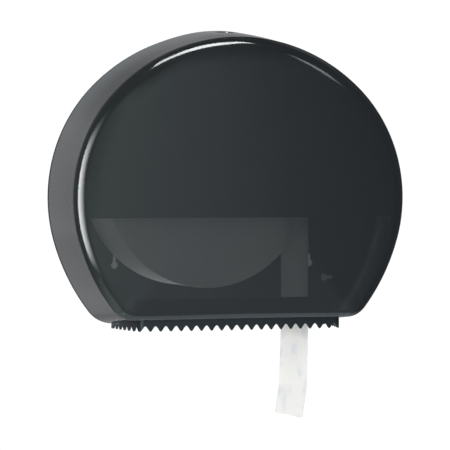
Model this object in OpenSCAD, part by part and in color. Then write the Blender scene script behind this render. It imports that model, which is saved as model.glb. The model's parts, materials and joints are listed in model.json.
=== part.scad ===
// Jumbo toilet roll dispenser with a bottom-hinged, D-shaped front cover.
// Wall plane at y = 0, front towards -Y, +Z up, x = 0 on the plane of symmetry,
// z = 0 at the level where the cover is widest.

/* [Cover outline] */
// Width of the cover at its rear rim
cover_w = 437; // [400:1:460]
// Height of the cover's top above its widest level
cover_top_z = 202.5; // [198:0.5:210]
// Depth of the cover's bottom below its widest level
cover_bottom_drop = 154; // [148:0.5:160]
// Radius of the outline beside the widest level
side_r = 191.8; // [188:0.1:194]
// Angle below horizontal where the side arc meets the lower arc
side_turn = 16; // [12:0.5:20]
// Radius of the outline between the side arc and the bottom corner
lower_r = 254; // [240:1:270]
// Radius of the bottom corners
corner_r = 40; // [36:0.5:44]

/* [Cover section] */
// Distance from the wall plane to the cover's rear rim
rim_y = 24; // [22:0.5:28]
// Depth of the drafted side band, from the rear rim to the shoulder
band_depth = 84.7; // [80:0.1:90]
// Extra depth of the band along the flat bottom
bottom_extra = 4; // [2:0.1:6]
// How far the band draws in over its depth
band_draft = 8.1; // [6:0.1:10]
// Width of the rounded shoulder along the top and the sides
shoulder_w = 15; // [12:0.5:18]
// Depth of the rounded shoulder along the top and the sides
shoulder_h = 8.5; // [7:0.1:10]
// Width of the rounded shoulder along the bottom
low_shoulder_w = 6.6; // [5.5:0.1:9]
// Depth of the rounded shoulder along the bottom
low_shoulder_h = 4.4; // [3.5:0.1:6]
// How far the middle of the front stands proud of the shoulder
crown_h = 15.8; // [12:0.1:18]
// Height of the crown's middle
crown_z = 25; // [15:0.5:35]
// Half width of the oval that the crown's contours pass into
crown_half_w = 200; // [180:1:210]
// Half height of that oval
crown_half_h = 168; // [150:1:175]
// Height of the raised pad round the key window
pad_h = 2.2; // [1:0.1:3]
// Half width of that pad
pad_half_w = 80; // [60:1:90]
// Wall thickness of the cover
cover_wall = 3; // [2.4:0.1:3.2]
// Diameter of the round key window in the cover's top
key_window_d = 24.4; // [23.5:0.1:26]

/* [Mask panel] */
// Level of the mask panel's lower edge, below the widest level
mask_drop = 23.5; // [10:0.5:60]
// Thickness of the mask panel
mask_t = 1.6; // [1.2:0.1:2]
// Gap between the mask panel and the cover
mask_gap = 0.3; // [0.2:0.05:0.5]

/* [Tear comb] */
// Tooth pitch of the comb's front row
tooth_pitch = 12.7; // [12:0.1:13]
// Height of one tooth
tooth_h = 6.6; // [5.5:0.1:7.5]
// Level of the tooth tips below the cover's bottom at the rear rim
tip_drop = 5.8; // [4:0.1:7]
// How far the paper exit runs into the rounded corners
exit_reach = 2.2; // [0:0.1:3]
// Thickness of the comb's wall
comb_t = 2.2; // [1.8:0.1:2.3]
// Height of the comb's front wall above the tooth tips
comb_front_h = 39; // [32:0.5:40]
// Height of the comb's side walls above the tooth tips
comb_side_h = 24; // [22:0.5:25]
// Radius of the bow of the comb's front row
front_bow_r = 1825; // [1500:5:2200]
// Radius of the bow of the comb's side rows
side_bow_r = 326; // [315:1:345]
// Radius of the comb's front corners
comb_corner_r = 7; // [5:0.5:9]
// Distance of the comb's front row from the start of the cover's shoulder
comb_front_gap = 3.4; // [2.8:0.1:4]
// Margin between the ends of the tooth rows and the ends of the comb
row_margin = 9; // [8:0.1:10]
// Clearance between the comb and the slot in the cover's bottom
comb_clearance = 0.3; // [0.2:0.05:0.5]
// Length of a screw tab along the comb's side
tab_len = 12; // [10:0.5:13]
// Reach of a screw tab beyond the comb's side
tab_reach = 9; // [8:0.5:11]
// Thickness of a screw tab
tab_t = 2.4; // [2:0.1:3]

/* [Chassis] */
// Thickness of the back panel
panel_t = 3; // [2.5:0.1:3.4]
// How far the chassis stands in from the cover's outline
chassis_inset = 9; // [8.5:0.1:11]
// How far the chassis stands up from the cover's bottom
chassis_bottom_inset = 12.5; // [12:0.1:15]
// Thickness of the chassis rim wall
flange_t = 2.5; // [2:0.1:3]
// Overlap of the chassis rim wall inside the cover
flange_lap = 6; // [4:0.5:8]
// Height of the stiffening ribs on the back panel
rib_h = 3; // [2:0.1:3.2]
// Thickness of the stiffening ribs
rib_t = 2; // [1.5:0.1:2.5]
// Width of the ribbed ring round the roll's spindle
ring_w = 24; // [20:0.5:26]
// Clearance between a spindle's ring rib and the hub's flange
ring_gap = 3; // [2:0.5:5]

/* [Hinge] */
// Distance of the hinge axis from the wall plane
hinge_y = 20; // [19.5:0.1:21]
// Height of the hinge axis above the cover's bottom
hinge_rise = 13; // [12.5:0.1:14]
// Diameter of the hinge pins
hinge_pin_d = 5; // [4:0.1:5.4]
// Outer diameter of the hinge knuckles
knuckle_d = 11; // [10:0.1:11.6]
// Length of one hinge knuckle
knuckle_len = 8.5; // [7:0.5:9.5]
// Distance from the paper exit's end to the knuckle's bearing on the pin
pin_start = 1; // [0.5:0.5:2]
// Thickness of the chassis lug that holds a hinge pin
lug_t = 4; // [3:0.1:5]
// Diameter of the eye of that lug
lug_d = 12; // [11:0.1:12.6]
// Side play between a knuckle and its lug
lug_play = 1; // [0.5:0.1:1.5]
// Height of the gusset that carries the lug on the panel
gusset_h = 16; // [12:0.5:18]
// Depth of that gusset
gusset_depth = 8; // [6:0.5:9]

/* [Roll] */
// Diameter of the paper roll
roll_d = 255.4; // [200:0.2:257]
// Width of the paper
paper_w = 97; // [90:1:98]
// Distance of the roll's back face from the wall plane
roll_back_y = 10.2; // [9.8:0.1:10.3]
// Sideways place of the roll's axis
roll_x = -41.4; // [-50:0.2:-41]
// Height of the roll's axis
roll_z = 19.5; // [15:0.5:25]
// Outer diameter of the cardboard core
core_d = 60; // [55:1:65]
// Wall thickness of the cardboard core
core_wall = 1.5; // [1:0.1:2]
// Drop of the loose paper end below the cover's bottom
tail_drop = 115.5; // [60:0.5:150]
// How far the tail's lower end stands inwards
tail_sweep = 7.4; // [3:0.1:10]
// How far the tail leans inwards down to its soft fold
tail_lean = 1.7; // [0:0.1:3]
// Share of the tail's hanging length above that fold
tail_fold = 0.66; // [0.4:0.02:0.9]
// Thickness drawn for the hanging paper
tail_t = 0.8; // [0.6:0.1:1.2]
// Gap between the roll's side and the hanging paper
tail_gap = 0.3; // [0.2:0.05:0.5]

/* [Spindles and hubs] */
// Diameter of the roll spindles
spindle_d = 16; // [14:0.1:18]
// Diameter of the spindle foot
foot_d = 46; // [42:1:50]
// Thickness of the spindle foot
foot_t = 3; // [2.5:0.1:3.2]
// Radius of the screw circle on the spindle foot
foot_screw_r = 17; // [15:0.5:18]
// Number of screws in a spindle foot
foot_screws_n = 3; // [3:1:4]
// Thickness of the retainer clip
retainer_t = 1.5; // [1.2:0.1:2]
// Depth of the spindle's groove for the clip
groove_depth = 1.5; // [1.2:0.1:2]
// How far the clip stands out round the spindle
retainer_rim = 4; // [3:0.1:5]
// Width of the clip's mouth
retainer_mouth = 5; // [4:0.1:6]
// Length of the spindle's head beyond the clip
spindle_head = 2; // [1.5:0.1:2.5]
// Diameter of the hub's barrel
hub_d = 48; // [44:1:50]
// Diameter of the hub's rear flange
hub_flange_d = 74; // [68:1:78]
// Thickness of the hub's rear flange
hub_flange_t = 1.8; // [1.5:0.1:2]
// Number of drive ribs on a hub
hub_ribs = 6; // [4:1:8]
// Width of a drive rib
hub_rib_w = 4; // [3:0.1:5]
// Setback of the drive ribs from the hub's front end
hub_rib_setback = 3; // [2:0.5:5]
// Wall thickness of the hub
hub_wall = 2.5; // [2:0.1:3]
// Thickness of the webs inside a hub
hub_web = 2; // [1.5:0.1:2.5]
// Thickness of the hub's closed rear end
hub_floor = 12; // [8:0.5:15]
// How far the hub stands out behind and in front of the core
hub_overhang = 1.8; // [1.6:0.1:2]
// Distance of the stub roll's axis from the cover's widest point
stub_inset = 72.5; // [70:0.5:74]
// Height of the stub roll's axis
stub_z = 42; // [38:0.5:48]
// Radial play of every turning fit
run_gap = 0.05; // [0.02:0.01:0.08]
// Clearance at the end of a turning fit
end_gap = 0.3; // [0.2:0.05:0.5]

/* [Brake spring] */
// Thickness of the leaf
brake_t = 0.8; // [0.6:0.1:1]
// Width of the leaf's foot
brake_w = 12; // [10:0.5:14]
// Sideways distance of the leaf's foot from the roll's axis
brake_offset = 22; // [20:0.5:24]
// Drop of the foot's screw below the leaf's bearing on the flange
brake_drop = 10; // [9:0.5:12]
// Width of the leaf's arm along the depth
brake_arm_w = 3.6; // [3:0.1:4]

/* [Lock] */
// Distance of the lock's axis from the wall plane
lock_y = 52; // [50:0.5:54]
// Diameter of the lock barrel
barrel_d = 18; // [16:0.5:19]
// Width of the barrel's collar round the barrel
collar_w = 1.6; // [1.2:0.1:2]
// Length of the barrel above the housing
barrel_nose = 5.5; // [5:0.1:6]
// Gap between the cover's wall and the barrel
barrel_gap = 3.5; // [2.5:0.1:4]
// Width of the lock housing
housing_w = 34; // [30:0.5:35]
// Height of the lock housing
housing_h = 19; // [17:0.5:21]
// Wall thickness of the lock housing
housing_wall = 3; // [2.5:0.1:3.5]
// Width over the lock housing's screw ears
ears_w = 64; // [62:0.5:66]
// Height of those ears
ears_h = 15; // [12:0.5:16]
// Half the spacing of the lock housing's screws
housing_screw_x = 25; // [24:0.5:26]
// Length of the cam arm from the barrel's axis
cam_len = 28; // [26:0.5:30]
// Width of the cam arm
cam_w = 10; // [8:0.5:12]
// Thickness of the cam arm
cam_t = 3; // [2.5:0.1:3.5]
// Diameter of the cam's boss
cam_boss_d = 15; // [13:0.5:16]
// Diameter of the barrel's tang in the cam
tang_d = 8; // [7:0.1:9]
// Width of the key slot
key_slot_w = 2.4; // [2:0.1:3]
// Length of the key slot
key_slot_len = 11; // [9:0.5:12]
// Depth of the key slot
key_slot_depth = 4; // [3:0.5:4.5]

/* [Strike] */
// Sideways place of the strike plate's inner face
strike_x = 20; // [19:0.5:21]
// Thickness of the strike plate
strike_t = 2.5; // [2:0.1:3]
// Width of the strike's roof flange
roof_w = 14; // [12:0.5:16]
// Thickness of the roof flange
roof_t = 2; // [1.5:0.1:2.5]
// Clearance of the cam arm in the strike's window
strike_play = 1.5; // [1:0.1:2]
// Width of the strike's posts beside the window
strike_post = 6; // [5:0.5:7]

/* [Wall fixing] */
// Diameter of the four wall screw holes
wall_hole_d = 5.5; // [4.5:0.1:6.5]
// Sideways spacing of the wall screw holes
wall_hole_dx = 160; // [150:1:170]
// Upright spacing of the wall screw holes
wall_hole_dz = 150; // [140:1:160]
// Height of the centre of the wall screw holes
wall_hole_z = 25; // [20:0.5:30]
// Distance of the upright keyholes from the ends of the paper exit
keyhole_inset = 10.7; // [8:0.1:12]
// Drop of the upright keyholes' mouths below the widest level
keyhole_drop = 83.6; // [80:0.2:88]
// Diameter of a keyhole's mouth
keyhole_d = 9; // [8:0.1:10]
// Width of a keyhole's slot
keyslot_w = 4; // [3.5:0.1:5]
// Length of an upright keyhole's slot
keyslot_len = 10; // [9:0.5:14]
// Sideways and upright distance of the lying keyholes from the upright ones
lying_shift = [20.2, 18.5];
// Length of a lying keyhole's slot
lying_len = 9.5; // [6:0.5:10]
// Sideways and upright distance of the corner pockets from the upright keyholes
corner_shift = [29, 36.5];
// Width and height of a corner pocket
pocket_size = [9.5, 7.5];
// Depth of a corner pocket
pocket_depth = 1.5; // [1:0.1:2]

/* [Screws] */
// Diameter of the self-tapping screws
screw_d = 2.7; // [2.5:0.1:3]
// Diameter of their pan heads
screw_head_d = 5.2; // [5:0.1:6]
// Height of their pan heads
screw_head_h = 1.3; // [1.2:0.1:1.8]
// Length of a screw in the back panel
short_screw = 5.5; // [4.5:0.5:6]
// Length of a screw that holds the comb, below its head
cover_screw = 6; // [5.5:0.1:6.4]
// Length of a screw that holds the strike, head included
strike_screw = 6.4; // [6:0.1:6.8]
// Diameter of the cam's screw
cam_screw_d = 3.9; // [3.5:0.1:4.5]
// Diameter of its head
cam_head_d = 11; // [10:0.5:12]
// Height of its head
cam_head_h = 3; // [2:0.1:3.5]

/* [Hidden] */
$fn = 64;
eps = 0.01;
cut = 5;

function mix(a, b, t) = a + (b - a) * t;
function smooth(t) = t * t * (3 - 2 * t);
function ray(a) = [sin(a), cos(a)];
function reversed(v) = [for (i = [len(v) - 1:-1:0]) v[i]];

// ---- Outline of the cover: tangent arcs, given as [point, outward normal, bottom share] ----
half_w = cover_w / 2;
cover_bottom_z = -cover_bottom_drop;
top_r = (pow(half_w - side_r, 2) + pow(cover_top_z, 2) - pow(side_r, 2))
    / (2 * (cover_top_z - side_r));
top_c = [0, cover_top_z - top_r];
side_c = [half_w - side_r, 0];
top_turn = atan2(side_c[0] - top_c[0], side_c[1] - top_c[1]);
lower_c = side_c + (side_r - lower_r) * [cos(side_turn), -sin(side_turn)];
corner_cz = cover_bottom_z + corner_r;
corner_c = [lower_c[0] + sqrt(pow(lower_r - corner_r, 2) - pow(corner_cz - lower_c[1], 2)),
    corner_cz];
corner_turn = atan2(corner_c[0] - lower_c[0], corner_c[1] - lower_c[1]);

function arc(c, r, a0, a1, n, b0 = 0, b1 = 0) = [for (i = [1:n])
    let (t = i / n, a = a0 + (a1 - a0) * t) [c + r * ray(a), ray(a), b0 + (b1 - b0) * smooth(t)]];
bottom_steps = 6;
right_side = concat(
    [[[0, cover_top_z], [0, 1], 0]],
    arc(top_c, top_r, 0, top_turn, 10),
    arc(side_c, side_r, top_turn, 90 + side_turn, 14),
    arc(lower_c, lower_r, 90 + side_turn, corner_turn, 5),
    arc(corner_c, corner_r, corner_turn, 180, 10, 0, 1),
    [for (i = [1:bottom_steps])
        [[corner_c[0] * (1 - i / bottom_steps), cover_bottom_z], [0, -1], 1]]);
last = len(right_side) - 1;
outline = concat(right_side, [for (i = [last - 1:-1:1]) let (p = right_side[i])
    [[-p[0][0], p[0][1]], [-p[1][0], p[1][1]], p[2]]]);
count = len(outline);

// Outline drawn in by one distance along the arcs and another along the bottom
function inset(d, d_bottom) = [for (p = outline) p[0] - p[1] * mix(d, d_bottom, p[2])];

// ---- Section of the cover: [inset, depth] along the arcs and along the bottom ----
shoulder_steps = 5;
crown_steps = 6;
crown_c = [0, crown_z];
draft_slope = band_draft / band_depth;
crown_slope = 0.17;
function bezier(p, t) = pow(1 - t, 2) * p[0] + 2 * t * (1 - t) * p[1] + t * t * p[2];
// Start, control and end of a shoulder that leaves the band and joins the crown smoothly
function shoulder(d, y, w, h) =
    let (k = (h - crown_slope * w) / (1 - crown_slope * draft_slope))
    [[d, y], [d + draft_slope * k, y + k], [d + w, y + h]];
low_depth = band_depth + bottom_extra;
inner_draft = band_draft + cover_wall;
// The inner shoulder starts a third of a wall nearer the rim, so that the wall stays even
inner_lead = cover_wall / 3;
inner_h = inner_lead - cover_wall;
outer_arcs = shoulder(band_draft, band_depth, shoulder_w, shoulder_h);
outer_low = shoulder(band_draft, low_depth, low_shoulder_w, low_shoulder_h);
inner_arcs = shoulder(inner_draft, band_depth - inner_lead, shoulder_w - inner_lead,
    shoulder_h + inner_h);
inner_low = shoulder(inner_draft, low_depth - inner_lead, low_shoulder_w - inner_lead,
    low_shoulder_h + inner_h);
front_depth = band_depth + shoulder_h + crown_h;

function at(p, d, y) = [p[0][0] - p[1][0] * d, -rim_y - y, p[0][1] - p[1][1] * d];
function shoulder_ring(arcs, low, t) = [for (p = outline)
    let (s = mix(bezier(arcs, t), bezier(low, t), p[2])) at(p, s[0], s[1])];
// Ring of the crowned front: s runs from 1 at the shoulder to 0 at the middle, while the ring's
// shape passes from the outline's to an ellipse, so that no fold runs in from the corners
function crown_ring(arcs, low, front, s) = [for (p = outline)
    let (e = mix(arcs[2], low[2], p[2]), q = at(p, e[0], e[1]),
        v = [q[0], q[2]] - crown_c,
        k = 1 / norm([v[0] / crown_half_w, v[1] / crown_half_h]),
        g = crown_c + v * s * mix(k, 1, s * s))
    [g[0], -rim_y - front + (front - e[1]) * s * s, g[1]]];
// Height of the pad on the band's top: full at the rim, gone at the shoulder
function pad(p, t) = p[1][1] < 0 ? 0
    : pad_h * pow(max(0, 1 - pow(p[0][0] / pad_half_w, 2)), 2) * (1 - pow(t, 4));
function band_ring(d_rim, arcs, low, t, raised) = [for (p = outline)
    let (e = mix(arcs[0], low[0], p[2])) at(p, mix(d_rim, e[0], t) - raised * pad(p, t), t * e[1])];
function skin(d_rim, arcs, low, front, band_steps, raised) = concat(
    [for (j = [0:band_steps - 1]) band_ring(d_rim, arcs, low, j / band_steps, raised)],
    [for (j = [0:shoulder_steps]) shoulder_ring(arcs, low, j / shoulder_steps)],
    [for (j = [1:crown_steps - 1]) crown_ring(arcs, low, front, 1 - j / crown_steps)]);
function flat(rings) = [for (r = rings) for (p = r) p];
// Triangles between successive rings of a skin; flip turns them over
function band_faces(rings, base, flip) = [for (k = [0:rings - 2]) for (i = [0:count - 1])
    let (j = (i + 1) % count, a = base + k * count, b = a + count)
    for (f = flip ? [[a + i, b + i, a + j], [a + j, b + i, b + j]]
        : [[a + i, a + j, b + i], [a + j, b + j, b + i]]) f];
function cap_faces(ring, tip, flip) = [for (i = [0:count - 1]) let (j = (i + 1) % count)
    flip ? [ring + i, tip, ring + j] : [ring + i, ring + j, tip]];

// Closed shell between an outer and an inner skin
module shell(outer, outer_tip, inner, inner_tip) {
    n_out = len(outer);
    n_in = len(inner);
    base = n_out * count;
    tip_out = base + n_in * count;
    polyhedron(
        points = concat(flat(outer), flat(inner), [outer_tip, inner_tip]),
        faces = concat(
            band_faces(n_out, 0, true), cap_faces((n_out - 1) * count, tip_out, true),
            band_faces(n_in, base, false),
            cap_faces(base + (n_in - 1) * count, tip_out + 1, false),
            [for (i = [0:count - 1]) let (j = (i + 1) % count)
                for (f = [[i, j, base + i], [j, base + j, base + i]]) f]),
        convexity = 4);
}

// ---- Places that several pieces share ----
exit_half_w = corner_c[0] + exit_reach;
tip_z = cover_bottom_z - tip_drop;
hinge_z = cover_bottom_z + hinge_rise;
hub_back_y = roll_back_y - hub_flange_t - end_gap - run_gap * 2;
hub_front_y = roll_back_y + paper_w + hub_overhang;
hub_len = hub_front_y - hub_back_y;
retainer_y = hub_front_y + end_gap;
core_bore_d = core_d - 2 * core_wall;
roll_right_x = roll_x + roll_d / 2;
stub_x = half_w - stub_inset;
screw_hole_d = screw_d + 2 * run_gap;
lock_top_z = cover_top_z - draft_slope * (lock_y + barrel_d / 2 - rim_y) - cover_wall - barrel_gap;
housing_z = lock_top_z - barrel_nose - housing_h;
housing_screw_z = housing_z + ears_h / 2;

// Draws a child given in the x-z plane, from depth y0 forwards by t
module upright(y0, t) translate([0, -y0, 0]) rotate([90, 0, 0]) linear_extrude(t) children();
// Cylinder along the depth axis, from depth y0 forwards by t
module rod(x, z, y0, t, d) translate([x, -y0, z]) rotate([90, 0, 0]) cylinder(h = t, d = d);
// Cylinder on the hinge axis
module cross_rod(x0, len, d) translate([x0, -hinge_y, hinge_z]) rotate([0, 90, 0])
    cylinder(h = len, d = d);
module both_sides() {
    children();
    mirror([1, 0, 0]) children();
}

// ---- Screws ----
module pan_screw(x, z, y0, len) {
    rod(x, z, y0, screw_head_h, screw_head_d);
    rod(x, z, y0 - len, len + eps, screw_d);
}

foot_angles = [for (i = [0:foot_screws_n - 1]) 90 + i * 360 / foot_screws_n];
module foot_screws(x, z) for (a = foot_angles)
    pan_screw(x + foot_screw_r * cos(a), z + foot_screw_r * sin(a), panel_t + foot_t, short_screw);
module foot_holes(x, z) for (a = foot_angles)
    rod(x + foot_screw_r * cos(a), z + foot_screw_r * sin(a), -cut, panel_t + foot_t + 2 * cut,
        screw_hole_d);

// ---- Rear chassis ----
flange_y = rim_y + flange_lap;
knuckle_x = exit_half_w + pin_start;
lug_x = knuckle_x + knuckle_len + lug_play;
lug_end = lug_x + lug_t;
stub_ring_d = hub_flange_d + 2 * (ring_gap + rib_t);
inner_ring_d = hub_flange_d + 2 * ring_w;
outer_ring_d = inner_ring_d + 2 * ring_w;
spokes = 6;
keyhole_x = exit_half_w - keyhole_inset;
wall_holes = [for (sx = [-1, 1]) for (sz = [-1, 1])
    [sx * wall_hole_dx / 2, wall_hole_z + sz * wall_hole_dz / 2]];

module keyslot(length) {
    translate([-keyslot_w / 2, 0]) square([keyslot_w, length]);
    translate([0, length]) circle(d = keyslot_w);
}

module keyhole(mouth, length, angle) translate(mouth) rotate(angle) {
    circle(d = keyhole_d);
    keyslot(length);
}

module panel_openings() {
    both_sides() {
        keyhole([keyhole_x, -keyhole_drop], keyslot_len, 0);
        keyhole([keyhole_x, -keyhole_drop] + [lying_shift[0], -lying_shift[1]], lying_len, -90);
    }
    for (h = wall_holes) translate(h) circle(d = wall_hole_d);
}

module ring_rib(x, z, d) difference() {
    rod(x, z, panel_t - eps, rib_h, d);
    rod(x, z, 0, panel_t + rib_h + cut, d - 2 * rib_t);
}

module hinge_lug() translate([lug_x, 0, 0]) difference() {
    union() {
        translate([0, -hinge_y, hinge_z]) rotate([0, 90, 0]) cylinder(h = lug_t, d = lug_d);
        translate([0, -hinge_y, hinge_z - rib_t]) cube([lug_t, hinge_y - panel_t + eps, lug_d / 1.5]);
        translate([0, -panel_t - gusset_depth, hinge_z - rib_t])
            cube([lug_t, gusset_depth + eps, gusset_h]);
    }
    translate([-cut, -hinge_y, hinge_z]) rotate([0, 90, 0])
        cylinder(h = lug_t + 2 * cut, d = hinge_pin_d);
}

module corner_pockets() both_sides()
    translate([keyhole_x + corner_shift[0], -keyhole_drop - corner_shift[1]])
        square(pocket_size, center = true);

module chassis_blank() {
    upright(0, panel_t - pocket_depth) difference() {
        polygon(inset(chassis_inset, chassis_bottom_inset));
        panel_openings();
    }
    upright(panel_t - pocket_depth - eps, pocket_depth + eps) difference() {
        polygon(inset(chassis_inset, chassis_bottom_inset));
        panel_openings();
        corner_pockets();
    }
    difference() {
        upright(0, flange_y) difference() {
            polygon(inset(chassis_inset, chassis_bottom_inset));
            polygon(inset(chassis_inset + flange_t, chassis_bottom_inset + flange_t));
        }
        translate([-lug_end - 1, -flange_y - cut, cover_bottom_z])
            cube([2 * lug_end + 2, flange_y - panel_t + cut, corner_r]);
    }
    ring_rib(roll_x, roll_z, outer_ring_d);
    ring_rib(roll_x, roll_z, inner_ring_d);
    ring_rib(stub_x, stub_z, stub_ring_d);
    for (i = [0:spokes - 1]) translate([roll_x, 0, roll_z]) rotate([0, (i + 0.5) * 360 / spokes, 0])
        translate([inner_ring_d / 2 - rib_t / 2, -panel_t - rib_h, -rib_t / 2])
            cube([ring_w, rib_h + eps, rib_t]);
    both_sides() hinge_lug();
}

module rear_chassis() color("dimgray") difference() {
    chassis_blank();
    foot_holes(roll_x, roll_z);
    foot_holes(stub_x, stub_z);
    both_sides() rod(housing_screw_x, housing_screw_z, -cut, panel_t + 2 * cut, screw_hole_d);
    rod(brake_x, brake_z, -cut, panel_t + 2 * cut, screw_hole_d);
}

module hinge_pins() color("silver") both_sides()
    cross_rod(knuckle_x, lug_end - knuckle_x + lug_play, hinge_pin_d - 2 * eps);

// ---- Spindles and hubs ----
// Spindle with a turned groove that the spring retainer clips into
module grooved_spindle(x, z) {
    difference() {
        union() {
            rod(x, z, panel_t, foot_t, foot_d);
            rod(x, z, panel_t, retainer_y - panel_t, spindle_d);
        }
        foot_holes(x, z);
    }
    rod(x, z, retainer_y - eps, retainer_t + 2 * eps, spindle_d - 2 * groove_depth);
    rod(x, z, retainer_y + retainer_t, spindle_head, spindle_d);
}

module retainer(x, z) difference() {
    rod(x, z, retainer_y, retainer_t, spindle_d + 2 * retainer_rim);
    rod(x, z, retainer_y - cut, retainer_t + 2 * cut, spindle_d - 2 * groove_depth + 2 * run_gap);
    translate([x - retainer_mouth / 2, -retainer_y - retainer_t - cut, z])
        cube([retainer_mouth, retainer_t + 2 * cut, spindle_d]);
}

module hub_hollow(x, z) difference() {
    rod(x, z, hub_back_y + hub_floor, hub_len, hub_d - 2 * hub_wall);
    rod(x, z, 0, hub_front_y + cut, spindle_d + 2 * hub_wall);
    for (i = [0:2]) translate([x, 0, z]) rotate([0, 30 + i * 60, 0])
        translate([-hub_d / 2, -hub_front_y - cut, -hub_web / 2])
            cube([hub_d, hub_front_y + cut, hub_web]);
}

module hub(x, z) difference() {
    union() {
        rod(x, z, hub_back_y, hub_len, hub_d);
        rod(x, z, hub_back_y, hub_flange_t, hub_flange_d);
        intersection() {
            for (i = [0:hub_ribs - 1]) translate([x, 0, z]) rotate([0, i * 360 / hub_ribs, 0])
                translate([0, -hub_front_y + hub_rib_setback, -hub_rib_w / 2])
                    cube([core_bore_d, hub_len - hub_rib_setback, hub_rib_w]);
            rod(x, z, hub_back_y, hub_len, core_bore_d - 2 * run_gap);
        }
    }
    rod(x, z, 0, hub_front_y + cut, spindle_d + 2 * run_gap);
    hub_hollow(x, z);
}

module roll_spindle() color("lightgray") grooved_spindle(roll_x, roll_z);
module spindle_screws() color("silver") foot_screws(roll_x, roll_z);
module spindle_retainer() color("silver") retainer(roll_x, roll_z);
module roll_hub() color("gray") hub(roll_x, roll_z);
module stub_spindle() color("lightgray") grooved_spindle(stub_x, stub_z);
module stub_screws() color("silver") foot_screws(stub_x, stub_z);
module stub_retainer() color("silver") retainer(stub_x, stub_z);
module stub_hub() color("gray") hub(stub_x, stub_z);

// ---- Brake spring: a leaf that bears on the rim of the roll hub's flange ----
brake_x = roll_x - brake_offset;
brake_top_z = roll_z - hub_flange_d / 2 - end_gap;
brake_z = brake_top_z - brake_drop;
brake_edge_x = brake_x + brake_w / 2;
brake_arm_z = brake_z + brake_w / 2 + 1;
brake_rise = roll_back_y - 2 * end_gap - panel_t;

module brake_arm() polygon([
    [brake_edge_x - eps, brake_arm_z - brake_t], [roll_x, brake_top_z - brake_t],
    [roll_x + brake_w / 2, brake_top_z - 2.75 * brake_t],
    [roll_x + brake_w / 2, brake_top_z - 1.75 * brake_t],
    [roll_x, brake_top_z], [brake_edge_x - eps, brake_arm_z]]);

module brake_spring() color("silver") difference() {
    union() {
        upright(panel_t, brake_t) translate([brake_x - brake_w / 2, brake_arm_z - brake_w])
            square(brake_w);
        upright(panel_t, brake_rise) translate([brake_x - brake_w / 2, brake_arm_z - brake_t])
            square([brake_w, brake_t]);
        upright(panel_t + brake_rise - brake_arm_w, brake_arm_w) brake_arm();
    }
    rod(brake_x, brake_z, 0, panel_t + brake_t + cut, screw_hole_d);
}

module brake_screw() color("silver") pan_screw(brake_x, brake_z, panel_t + brake_t,
    short_screw - foot_t + brake_t);

// ---- Paper ----
module roll_core() color("peru") difference() {
    rod(roll_x, roll_z, roll_back_y, paper_w, core_d);
    rod(roll_x, roll_z, 0, roll_back_y + paper_w + cut, core_bore_d);
}

module paper_roll() color("white") difference() {
    rod(roll_x, roll_z, roll_back_y, paper_w, roll_d);
    rod(roll_x, roll_z, 0, roll_back_y + paper_w + cut, core_d + 2 * run_gap);
}

tail_x = roll_right_x + tail_gap;
tail_bottom_z = cover_bottom_z - tail_drop;
tail_steps = 12;
// How far the tail stands inwards at share t of its hanging length
function tail_inwards(t) = t < tail_fold ? tail_lean * smooth(t / tail_fold)
    : mix(tail_lean, tail_sweep, (t - tail_fold) / (1 - tail_fold));
// Edge of the hanging paper: straight to the exit, then drawn gently inwards
function tail_line(off) = concat([[tail_x + off, roll_z], [tail_x + off, cover_bottom_z]],
    [for (i = [1:tail_steps]) let (t = i / tail_steps)
        [tail_x + off - tail_inwards(t), mix(cover_bottom_z, tail_bottom_z, t)]]);

module paper_tail() color("whitesmoke") upright(roll_back_y, paper_w)
    polygon(concat(tail_line(0), reversed(tail_line(tail_t))));

// ---- Comb: plan outline from two bowed rows joined by a small corner ----
comb_front_y = rim_y + band_depth + comb_front_gap;
row_c = [0, front_bow_r - comb_front_y];
flank_lead = 2;
flank_c = [exit_half_w - side_bow_r, -rim_y - flank_lead];
// Centre of the corner that is tangent to both rows inside
function meet(c0, r0, c1, r1) =
    let (v = c1 - c0, d = norm(v), a = (r0 * r0 - r1 * r1 + d * d) / (2 * d),
        h = sqrt(r0 * r0 - a * a), u = v / d)
    c0 + a * u + h * [-u[1], u[0]];
comb_corner_c = meet(row_c, front_bow_r - comb_corner_r, flank_c, side_bow_r - comb_corner_r);
row_end = atan2(comb_corner_c[0] - row_c[0], row_c[1] - comb_corner_c[1]);
flank_start = atan2(comb_corner_c[0] - flank_c[0], flank_c[1] - comb_corner_c[1]);
function plan(c, r, a0, a1, n, first = 0) = [for (i = [first:n]) let (a = a0 + (a1 - a0) * i / n)
    c + r * [sin(a), -cos(a)]];
// Half of the comb line, drawn in by d, from the middle of the front to the rear end
function half_comb(d) = concat(
    plan(row_c, front_bow_r - d, 0, row_end, 6),
    plan(comb_corner_c, comb_corner_r - d, row_end, flank_start, 5),
    plan(flank_c, side_bow_r - d, flank_start, 90, 6, 1),
    [[exit_half_w - d, -rim_y]]);
function mirrored(v) = [for (i = [len(v) - 1:-1:1]) [-v[i][0], v[i][1]]];
function whole_comb(d) = concat(mirrored(half_comb(d)), half_comb(d));
// Same line closed towards the wall, at depth y
function comb_area(d, y) = concat(whole_comb(d), [[exit_half_w - d, -y], [d - exit_half_w, -y]]);

// One gap between two round-tipped teeth, in the plane of the row
gap_steps = 12;
tip_power = 0.8;
module tooth_gap(pitch) polygon(concat([[-pitch / 2, -cut]],
    [for (i = [0:gap_steps]) let (s = i / gap_steps - 0.5)
        [s * pitch, tooth_h * pow((1 + cos(360 * s)) / 2, tip_power)]],
    [[pitch / 2, -cut]]));

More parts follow.
